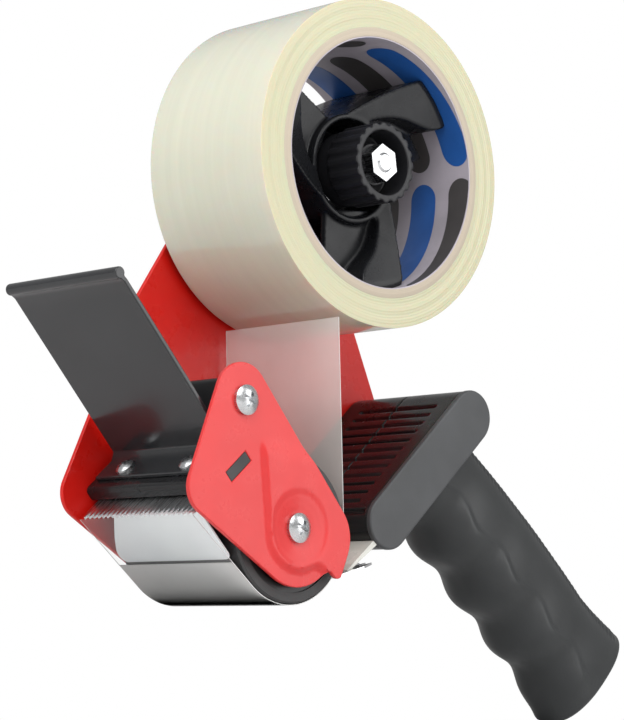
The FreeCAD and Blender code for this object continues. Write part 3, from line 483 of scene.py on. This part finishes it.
def side_plate(name, corners, side, depth, look, node, pitch):
    outline = finely(rounded(corners, 14), pitch)
    slot_hole = slot_outline()
    spots = [tuple(p) for p in outline]
    edges = [(n, (n + 1) % len(outline)) for n in range(len(outline))]
    first = len(spots)
    spots += slot_hole
    edges += [(first + n, first + (n + 1) % 4) for n in range(4)]
    xs = np.arange(min(p[0] for p in outline), max(p[0] for p in outline), pitch)
    zs = np.arange(min(p[1] for p in outline), max(p[1] for p in outline), pitch)
    field = np.array([(x + (pitch / 2 if row % 2 else 0), z) for row, z in enumerate(zs) for x in xs])
    clear = outline_distance(field, outline) > pitch * 0.8
    clear &= outline_distance(field, slot_hole) > pitch * 0.8
    spots += [tuple(p) for p, ok in zip(field, clear) if ok and inside(p, outline)]
    flat, _, triangles, *_ = delaunay_2d_cdt([Vector(p) for p in spots], edges, [], 1, 1e-5)
    kept = []
    for triangle in triangles:
        middle = sum((flat[n] for n in triangle), Vector((0, 0))) / 3
        if inside(middle, outline) and not inside(middle, slot_hole):
            kept.append(tuple(triangle))
    plan = np.array([tuple(p) for p in flat])
    height = depth * pressed(plan, outline)
    outer = [(x, side * (PLATE_FACE + h), z) for (x, z), h in zip(plan, height)]
    inner = [(x, side * (PLATE_FACE - PLATE_WALL + h), z) for (x, z), h in zip(plan, height)]
    count = len(plan)
    faces = kept + [tuple(n + count for n in reversed(face)) for face in kept]
    uses = {}
    for face in kept:
        for a, b in zip(face, face[1:] + face[:1]):
            uses[frozenset((a, b))] = uses.get(frozenset((a, b)), 0) + 1
    faces += [(a, b, b + count, a + count) for a, b in (tuple(pair) for pair, n in uses.items() if n == 1)]
    piece = make(name, outer + inner, faces, local(), "frame", look, [node], 50.0)
    return bevel(piece, 0.35, 3, 60.0)


side_plate("plate_near", NEAR_OUTLINE, 1, 1.25, RED_NEAR, "near_side_plate", 1.0)
side_plate("plate_far", FAR_OUTLINE, -1, 0.8, RED_FAR, "far_side_plate", 1.6)


# ---------------------------------------------------------------- cutter block, flap and keeper
BLADE = local(62.0, -116.0, BLADE_TILT)
FLAP = local(51.8, -96.2, -42.2)
DECK = 4.6
NOSE = (-21.2, -7.4)
FLAP_WALL = 1.4
FLAP_REACH = 60.5
HALF_FLAP = 24.8


def seen(place, x, z):
    """Tool-frame (x, z) of a point given in another placement."""
    spot = place @ Vector((x * MM, 0, z * MM)) / MM
    return (spot.x, spot.z)


BLOCK = [
    (42.5, -76.0, 1.5), (54.5, -76.0, 1.5), (54.5, -88.0, 1.0), (49.4, -94.8, 1.0),
    (*seen(BLADE, NOSE[0], DECK), 0.3), (*seen(BLADE, NOSE[1], DECK), 1.6),
    (*seen(BLADE, NOSE[1], 0.0), 1.2), (*seen(BLADE, NOSE[0], 0.0), 0.5), (42.5, -92.0, 2.0),
]
prism("cutter_block", rounded(BLOCK, 5), -26.85, 26.85, local(), "frame", BLACK_GLOSS,
      ["front_block"], 0.5)
for tab, low, high in (("slot_tab", 24.0, 28.2), ("slot_tab_far", -28.2, -24.0)):
    prism(tab, slot_outline(), low, high, local(), "frame", BLACK_SATIN, (), 0.25)


def flap_section():
    """Side outline of the wiper flap in tool (x, z): foot, bend, blade of the flap and bead."""
    under = [seen(BLADE, x, DECK) for x in (-11.2, -16.0, -20.0)]
    over = [seen(BLADE, x, DECK + FLAP_WALL) for x in (-11.2, -16.0, -19.2)]
    lengths = [1.6, 2.6, 4.0] + [FLAP_REACH * share for share in np.linspace(0.12, 0.95, 14)]
    front = [seen(FLAP, x, 0.0) for x in lengths]
    back = [seen(FLAP, x, FLAP_WALL) for x in lengths]
    bead = []
    for step in range(13):
        angle = math.radians(-152 + 304 * step / 12)
        bead.append(seen(FLAP, FLAP_REACH + 1.75 * math.cos(angle), 0.4 + 1.75 * math.sin(angle)))
    corner = seen(FLAP, -0.4, FLAP_WALL + 0.2)
    return over + front + bead + list(reversed(back)) + [corner] + list(reversed(under))


flap = prism("wiper", flap_section(), -HALF_FLAP, HALF_FLAP, local(), "frame", FLAP_GREY)
bpy.context.view_layer.update()


# ---------------------------------------------------------------- tape roll
HALF_TAPE = 24.9


def tape_roll():
    """Wound tape: softly stepped ends and a glossy outside."""
    ends = []
    for share in np.linspace(0, 1, 34):
        radius = 41.2 + (50.0 - 41.2) * share
        wave = 0.05 * math.sin(share * 61) + 0.07 * math.sin(share * 17 + 1)
        ends.append((radius, HALF_TAPE - 0.12 + wave))
    near = ends + [(50.16, HALF_TAPE - 0.25)]
    far = [(radius, -y) for radius, y in reversed(near)]
    profile = near + [(50.2, 12.0), (50.2, 0.0), (50.2, -12.0)] + far
    roll = spun("tape_roll", profile, local(), "reel", [TAPE_SIDE, TAPE_END],
                ["tape_wound"], 192)
    for face in roll.data.polygons:
        if abs(face.normal.y) > 0.5:
            face.material_index = 1
    return roll


tape_roll()
core = [(38.45, -24.85), (41.2, -24.85), (41.2, 24.85), (41.0, 24.98), (38.6, 24.98), (38.45, 24.85)]
spun("core_tube", core, local(), "reel", BOARD, ["tape_core"], 160)
spun("liner_tube", [(38.1, -24.8), (38.44, -24.8), (38.44, 24.84), (38.1, 24.84)], local(), "reel",
     LINER, ["core_liner"], 160)


def liner_print():
    """Plain printed pills that wind round the inside of the core, two colours in turn."""
    wall, period, climb, strip = 38.05, 81.2, 6.6, 16.2
    half, cap, limit = 29.7, 5.3, 24.6
    shares = [0.5 - 0.5 * math.cos(math.pi * n / 12) for n in range(13)]
    points, faces, kinds = [], [], []
    for turn in range(-1, 3):
        for row in range(-4, 3):
            centre = 129.0 + period * turn
            level = 17.4 + climb * turn + strip * row
            reach = math.degrees(cap / wall)
            stops = [-half - reach + reach * share for share in shares]
            stops += [-half + 2 * half * n / 24 for n in range(1, 24)]
            stops += [half + reach * share for share in shares]
            base, columns = len(points), 0
            for stop in stops:
                over = max(abs(stop) - half, 0.0) / reach
                lift = cap * math.sqrt(max(1.0 - over * over, 0.0004))
                middle = level + climb / period * stop
                low, high = max(middle - lift, -limit), min(middle + lift, limit)
                if high - low < 0.1:
                    continue
                angle = math.radians(centre + stop)
                for y in (low, high):
                    points.append((wall * math.cos(angle), y, wall * math.sin(angle)))
                columns += 1
            for column in range(columns - 1):
                spot = base + column * 2
                faces.append((spot, spot + 1, spot + 3, spot + 2))
                kinds.append((turn + row) % 2)
    piece = make("liner_print", points, faces, local(), "reel", [PRINT_BLUE, PRINT_DARK])
    for face, kind in zip(piece.data.polygons, kinds):
        face.material_index = kind
    return piece


liner_print()


# ---------------------------------------------------------------- tape run and keeper
ROLLER_REACH = 21.8                    # inside of the tape's run round the roller
FILM = 0.2
PEEL_AT = (13.3, -50.5)
TEAR_AT = (62.4, -116.6)
KEEPER_TAIL = (45.9, -126.9)
SPRING_LOW = -2.95                     # brake spring, along the hub's axis
SPRING_HIGH = 10.95
SPRING_RADIUS = 6.2
SPRING_WIRE = 0.9


def touch_angle(point, side):
    """Angle at which a straight run from the point touches the roller."""
    dx, dz = point[0] - ROLLER_AT[0], point[1] - ROLLER_AT[1]
    return math.atan2(dz, dx) + side * math.acos(ROLLER_REACH / math.hypot(dx, dz))


def tape_run():
    """Single thickness of tape from the roll, round the roller, to the cutting edge; the low wrap round
    the roller gets a darker grey copy of the film as painted shade.
    """
    start = touch_angle(PEEL_AT, 1)
    stop = touch_angle(TEAR_AT, -1) + 2 * math.pi
    steps = 72
    angles = [start + (stop - start) * n / steps for n in range(steps + 1)]
    rounds = []
    for reach in (ROLLER_REACH, ROLLER_REACH + FILM):
        extra = reach - ROLLER_REACH
        first = (PEEL_AT[0] + extra * math.cos(start), PEEL_AT[1] + extra * math.sin(start))
        last = (TEAR_AT[0] + extra * math.cos(stop), TEAR_AT[1] + extra * math.sin(stop))
        bend = [(ROLLER_AT[0] + reach * math.cos(a), ROLLER_AT[1] + reach * math.sin(a)) for a in angles]
        touch, share = bend[-1], np.linspace(0, 1, 13)[1:]
        run = [(touch[0] + (last[0] - touch[0]) * t, touch[1] + (last[1] - touch[1]) * t) for t in share]
        rounds.append([first, *bend, *run])
    outline = rounds[0] + rounds[1][::-1]
    piece = prism("tape_run", outline, -HALF_TAPE, HALF_TAPE, local(), "frame",
                  [TAPE_WEB, TAPE_WRAP_SHADED, TAPE_CLEAR], ["tape_web"], 0)
    for face in piece.data.polygons:
        # faces low round the roller take the darker grey copy of the film: painted shade
        low = face.center.z < (ROLLER_AT[1] + ROLLER_REACH * math.sin(start) + 0.5) * MM
        run_out = face.center.x > KEEPER_TAIL[0] * MM
        face.material_index = 2 if run_out else 1 if low else 0
    return piece


tape_run()


HALF_KEEPER = 24.2
KEEPER_WALL = 0.4
KEEPER_LIP = -2.2                      # along the blade's frame, where the film turns back
KEEPER_SEAT = -16.0
BLADE_WALL = 0.8


def keeper():
    """Frosted film that turns back from under the blade, with a slanted far edge."""
    lip, tail = Vector(seen(BLADE, KEEPER_LIP, -BLADE_WALL)), Vector(KEEPER_TAIL)
    seat = Vector(seen(BLADE, KEEPER_SEAT, -BLADE_WALL))
    back, along = (tail - lip).normalized(), (lip - seat).normalized()
    square, square_seat = Vector((back.y, -back.x)), Vector((along.y, -along.x))
    reach = (tail - lip).length
    outline = rounded([(0.3, -13.0, 0), (9.0, -19.8, 5), (14.5, -23.4, 4), (reach, -23.4, 2.4),
                       (reach, HALF_KEEPER, 2.4), (0.3, HALF_KEEPER, 0)], 6)
    points = []
    for lift in (0.0, KEEPER_WALL):
        for run, y in outline:
            spot = lip + back * run + square * lift
            points.append((spot.x, y, spot.y))
    count = len(outline)
    faces = [tuple(range(count)), tuple(range(2 * count - 1, count - 1, -1))]
    faces += [(n, (n + 1) % count, (n + 1) % count + count, n + count) for n in range(count)]
    piece = make("keeper", points, faces, local(), "frame", KEEPER_FILM, ["tape_keeper"])
    strip = []
    for lift in (0.0, KEEPER_WALL):
        for run in (0.0, (lip - seat).length - 0.3):
            spot = seat + along * run + square_seat * lift
            strip += [(spot.x, -HALF_KEEPER, spot.y), (spot.x, HALF_KEEPER, spot.y)]
    # The strip under the blade is a box: its six faces, corner by corner.
    under = [(0, 1, 3, 2), (4, 6, 7, 5), (0, 2, 6, 4), (1, 5, 7, 3), (0, 4, 5, 1), (2, 3, 7, 6)]
    make("keeper_seat", strip, under, local(), "frame", KEEPER_FILM)
    return piece


keeper()


def coil():
    """Brake spring: a round wire wound up between its seat and the pressure washer."""
    turns, per_turn, around = 5.5, 44, 10
    low, high = SPRING_LOW + SPRING_WIRE / 2, SPRING_HIGH - SPRING_WIRE / 2
    count = round(turns * per_turn)
    points = []
    for step in range(count + 1):
        angle = 2 * math.pi * step / per_turn
        rise = low + (high - low) * step / count
        for side in range(around):
            turn = 2 * math.pi * side / around
            reach = SPRING_RADIUS + SPRING_WIRE / 2 * math.cos(turn)
            points.append((reach * math.cos(angle), rise + SPRING_WIRE / 2 * math.sin(turn),
                           reach * math.sin(angle)))
    faces = grid_faces(count + 1, around, wrap=True)
    faces += [tuple(range(around)), tuple(range(len(points) - around, len(points)))]
    piece = make("spring_coil", points, faces, local(), "reel", SPRING_STEEL,
                 ["brake_spring"])
    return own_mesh(piece)


coil()


# ---------------------------------------------------------------- moulded pieces
def softened(node, voxel, passes, body, look, keep=0.5):
    """A CAD piece with the soft edges of a moulding: remeshed finely, smoothed and thinned."""
    source = frame["nodes"][node]
    mesh = source.data.copy()
    mesh.transform(source.matrix_world)
    mesh.materials.clear()
    rough = bpy.data.objects.new(f"{node}_rough", mesh)
    bpy.context.scene.collection.objects.link(rough)
    cells = rough.modifiers.new("cells", "REMESH")
    cells.mode = "VOXEL"
    cells.voxel_size = voxel * MM
    smooth = rough.modifiers.new("smooth", "SMOOTH")
    smooth.factor = 0.5
    smooth.iterations = passes
    thin = rough.modifiers.new("thin", "DECIMATE")
    thin.ratio = keep
    bpy.context.view_layer.update()
    final = bpy.data.meshes.new_from_object(rough.evaluated_get(bpy.context.evaluated_depsgraph_get()))
    bpy.data.objects.remove(rough)
    final.materials.clear()
    final.materials.append(look)
    final.shade_smooth()
    piece = bpy.data.objects.new(f"{node}_moulded", final)
    bpy.context.scene.collection.objects.link(piece)
    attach(piece, body)
    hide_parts(node)
    return piece


softened("hub_body", 0.45, 8, "reel", HUB_BLACK)
softened("tension_knob", 0.28, 3, "knob", KNOB_BLACK)
softened("head_shell_near", 0.42, 4, "frame", BLACK_GLOSS)
softened("head_shell_far", 0.42, 4, "frame", BLACK_GLOSS)

# ---------------------------------------------------------------- pistol grip
GRIP = local(-77.8, -77.0, 145.95, -2.5)
HEAD = local(-34.4, -87.9, 49.2)
HEAD_DEPTH = 8.3                       # from the head's middle to where the grip meets it
GRIP_END = 85.0
BUTT_ROUND = 2.0
FINGER_PITCH = 23.6
FIRST_SWELL = 6.0
FLARE_START = 58.0
BACK_STRAP = 3.0                       # heights run from the palm's side to the fingers' side
BACK_BELLY = 1.5
PALM_AT = 24.0
PALM_REACH = 38.0
FINGER_LINE = 35.6
FINGER_SWELL = 1.3
HEEL = 4.0                             # flare of the butt past the back strap
TOE = 5.2                              # and past the line of the fingers
HALF_GRIP = 14.5
WAIST = 0.25
BUTT_NARROWING = 1.6
BUTT_LEAN = 5.0
BUTT_SHRINK = 0.16                     # how much the rounded end draws in
FRONT_SQUARENESS = 0.86                # powers below 1 flatten an oval's sides
CHEEK_SQUARENESS = 0.80
CREASE = 0.22                          # where the cheek meets the swells, as a share of the depth
RIB_PITCH = 2.2
RIB_DEPTH = 0.34
CHEEK_STEP = 0.55                      # how far the cheek lies below the swells for the fingers
FINGER_PILLOW = 0.55


def grip_point(distance, angle):
    """Point of the grip's skin in its own frame; angle 0 faces the fingers, 180 the palm."""
    wave = math.cos(2 * math.pi * (distance - FIRST_SWELL) / FINGER_PITCH)
    flare = max(0.0, (min(distance, GRIP_END) - FLARE_START) / (GRIP_END - FLARE_START)) ** 2
    belly = BACK_BELLY * max(0.0, 1 - ((distance - PALM_AT) / PALM_REACH) ** 2)
    back = BACK_STRAP - belly - HEEL * flare
    front = FINGER_LINE + FINGER_SWELL * wave * (1 - flare) + TOE * flare
    half_width = HALF_GRIP - WAIST * (1 - wave) - BUTT_NARROWING * flare
    middle, depth = (front + back) / 2, (front - back) / 2
    over = max(0.0, distance - GRIP_END) / BUTT_ROUND
    shrink = 1 - BUTT_SHRINK * (1 - math.sqrt(max(0.0, 1 - over * over)))
    c, s = math.cos(angle), math.sin(angle)
    h = depth * shrink * math.copysign(abs(c) ** FRONT_SQUARENESS, c)
    y = half_width * shrink * math.copysign(abs(s) ** CHEEK_SQUARENESS, s)
    share = h / depth
    crease_at = CREASE + 0.05 * wave
    side = ease(abs(s) * 1.6 - 0.5)
    pillow = ease((share - crease_at) / 0.16) * (1 - 0.6 * flare)
    y += math.copysign((CHEEK_STEP + FINGER_PILLOW * wave) * pillow * side, s)
    y -= math.copysign(CHEEK_STEP * 0.8 * (1 - pillow) * side * (1 - flare), s)
    palm = ease((-share - 0.66) / 0.10) * ease((84.0 - distance) / 4.0) * (1 - over)
    rib = RIB_DEPTH * palm * math.cos(2 * math.pi * distance / RIB_PITCH)
    h += rib
    y -= rib * math.copysign(side, s)
    lean = distance - h * math.tan(math.radians(BUTT_LEAN * flare))
    return Vector((lean, y, middle + h)) * MM


def grip():
    """Rubber grip: flat cheeks, swells between the fingers and a ribbed strap in the palm."""
    sides, rows = 140, 300
    to_head = HEAD.inverted() @ GRIP
    points = []
    for row in range(rows + 1):
        for side in range(sides):
            angle = 2 * math.pi * side / sides
            probe = grip_point(0.0, angle)
            fall = (to_head.to_3x3() @ Vector((1, 0, 0))).z
            start = (-HEAD_DEPTH * MM - (to_head @ probe).z) / fall / MM
            share = row / rows
            points.append(ROW @ GRIP @ grip_point(start + (GRIP_END + BUTT_ROUND - start) * share, angle))
    faces = grid_faces(rows + 1, sides, wrap=True)
    faces += [tuple(range(sides)), tuple(range(len(points) - sides, len(points)))]
    mesh = bpy.data.meshes.new("grip")
    mesh.from_pydata(points, [], faces)
    mesh.materials.append(GRIP_GREY)
    cleaned = bmesh.new()
    cleaned.from_mesh(mesh)
    bmesh.ops.recalc_face_normals(cleaned, faces=cleaned.faces)
    cleaned.to_mesh(mesh)
    cleaned.free()
    mesh.shade_smooth()
    mesh.set_sharp_from_angle(angle=math.radians(50.0))
    piece = bpy.data.objects.new("grip", mesh)
    bpy.context.scene.collection.objects.link(piece)
    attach(piece, "frame")
    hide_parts("grip_sleeve")
    return piece


grip()

# ---------------------------------------------------------------- carried-over pieces
CARRIED = {
    "block_screws": ZINC, "flap_screws": ZINC, "axle_screws": ZINC, "head_screws": ZINC,
    "blade_screws": ZINC, "thrust_washers": ZINC, "hub_axle": ZINC, "pressure_washer": ZINC,
    "knob_nut": ZINC, "grip_bolt": ZINC, "roller_axle": ZINC, "spring_seat": ZINC,
    "cutter_blade": BLADE_STEEL, "rear_comb": COMB_STEEL,
    "roller_sleeve": RUBBER, "roller_core": BLACK_SATIN, "roller_bushes": BLACK_SATIN,
    "head_end_cap": CAP_GREY,
    "hub_bush": BLACK_SATIN, "friction_disc": BLACK_SATIN, "grip_stem": BLACK_SATIN,
    "blade_clamp": BLACK_SATIN,
    "comb_leaf": LEAF_FILM,
}
for node, look in CARRIED.items():
    carried = frame["nodes"][node]
    for slot in carried.material_slots:
        slot.material = look

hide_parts("wiper_flap", "flap_foot")
flap.parent = None                     # the flap rides on no body
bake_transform(flap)

# ---------------------------------------------------------------- stage, light and camera
def floor_look():
    """Pale floor that is seen from above only, because the camera looks up from below it."""
    look = Look("pale_floor", (0.86, 0.86, 0.86), 0.7)
    look.tint(look.noise(3.0), 0.98, 1.02)
    out = look.nodes["Material Output"]
    clear = look.nodes.new("ShaderNodeBsdfTransparent")
    side = look.nodes.new("ShaderNodeNewGeometry")
    choose = look.nodes.new("ShaderNodeMixShader")
    look.join(side.outputs["Backfacing"], choose.inputs["Fac"])
    look.join(look.shader.outputs["BSDF"], choose.inputs[1])
    look.join(clear.outputs["BSDF"], choose.inputs[2])
    look.join(choose.outputs["Shader"], out.inputs["Surface"])
    return look.material


def floor():
    mesh = bpy.data.meshes.new("floor")
    size = 4.0
    corners = [(-size, -size, 0), (size, -size, 0), (size, size, 0), (-size, size, 0)]
    mesh.from_pydata(corners, [], [(0, 1, 2, 3)])
    mesh.materials.append(floor_look())
    plane = bpy.data.objects.new("floor", mesh)
    bpy.context.scene.collection.objects.link(plane)


floor()
world = bpy.data.worlds.new("studio")
bpy.context.scene.world = world
world.use_nodes = True
wn, wl = world.node_tree.nodes, world.node_tree.links
backdrop = wn["Background"]
backdrop.inputs["Color"].default_value = (1, 1, 1, 1)
backdrop.inputs["Strength"].default_value = 1.0
fill = wn.new("ShaderNodeBackground")
fill.inputs["Color"].default_value = (1.0, 1.0, 1.0, 1)
fill.inputs["Strength"].default_value = 0.46
ray = wn.new("ShaderNodeLightPath")
either = wn.new("ShaderNodeMixShader")
wl.new(ray.outputs["Is Camera Ray"], either.inputs["Fac"])
wl.new(fill.outputs["Background"], either.inputs[1])
wl.new(backdrop.outputs["Background"], either.inputs[2])
wl.new(either.outputs["Shader"], wn["World Output"].inputs["Surface"])


def softbox(name, at, towards, size, power):
    """Area light at a tool-frame place in millimetres."""
    light = bpy.data.lights.new(name, "AREA")
    light.shape = "RECTANGLE"
    light.size, light.size_y = size
    light.energy = power
    lamp = bpy.data.objects.new(name, light)
    bpy.context.scene.collection.objects.link(lamp)
    spot, aim = ROW @ (Vector(at) * MM), ROW @ (Vector(towards) * MM)
    lamp.location = spot
    lamp.rotation_mode = "QUATERNION"
    lamp.rotation_quaternion = (aim - spot).to_track_quat("-Z", "Y")
    return lamp


softbox("key", (350, 500, 480), (0, 0, -60), (0.6, 0.6), 4.2)
softbox("front", (620, 60, 60), (20, 0, -80), (0.5, 0.7), 2.2)
softbox("low", (430, 240, -400), (20, 0, -110), (0.6, 0.3), 0.9)
softbox("side", (-330, 560, 120), (-30, 0, -60), (0.4, 0.7), 2.0)

camera_data = bpy.data.cameras.new("camera")
camera = bpy.data.objects.new("camera", camera_data)
bpy.context.scene.collection.objects.link(camera)
bpy.context.scene.camera = camera
camera_data.sensor_width = 36.0
camera_data.lens = 123.85
AIM_AT = (-7.8, -7.5, -56.9)
VIEW_DISTANCE = 766.5
VIEW_AZIMUTH = 46.93                   # degrees from +X towards +Y in the tool frame
VIEW_HEIGHT = -10.73                   # the camera looks up a little
VIEW_ROLL = 4.97
azimuth, height = math.radians(VIEW_AZIMUTH), math.radians(VIEW_HEIGHT)
level = Vector((math.cos(azimuth), math.sin(azimuth), 0.0)) * math.cos(height)
outward = level + Vector((0.0, 0.0, math.sin(height)))
roll = Matrix.Rotation(math.radians(VIEW_ROLL), 4, "Z")
turn = outward.to_track_quat("Z", "Y").to_matrix().to_4x4() @ roll
seat = Matrix.Translation((Vector(AIM_AT) + outward * VIEW_DISTANCE) * MM)
camera.matrix_world = ROW @ seat @ turn
camera_data.clip_start = 0.05
camera_data.clip_end = 20.0
bpy.context.scene.view_settings.view_transform = "Standard"
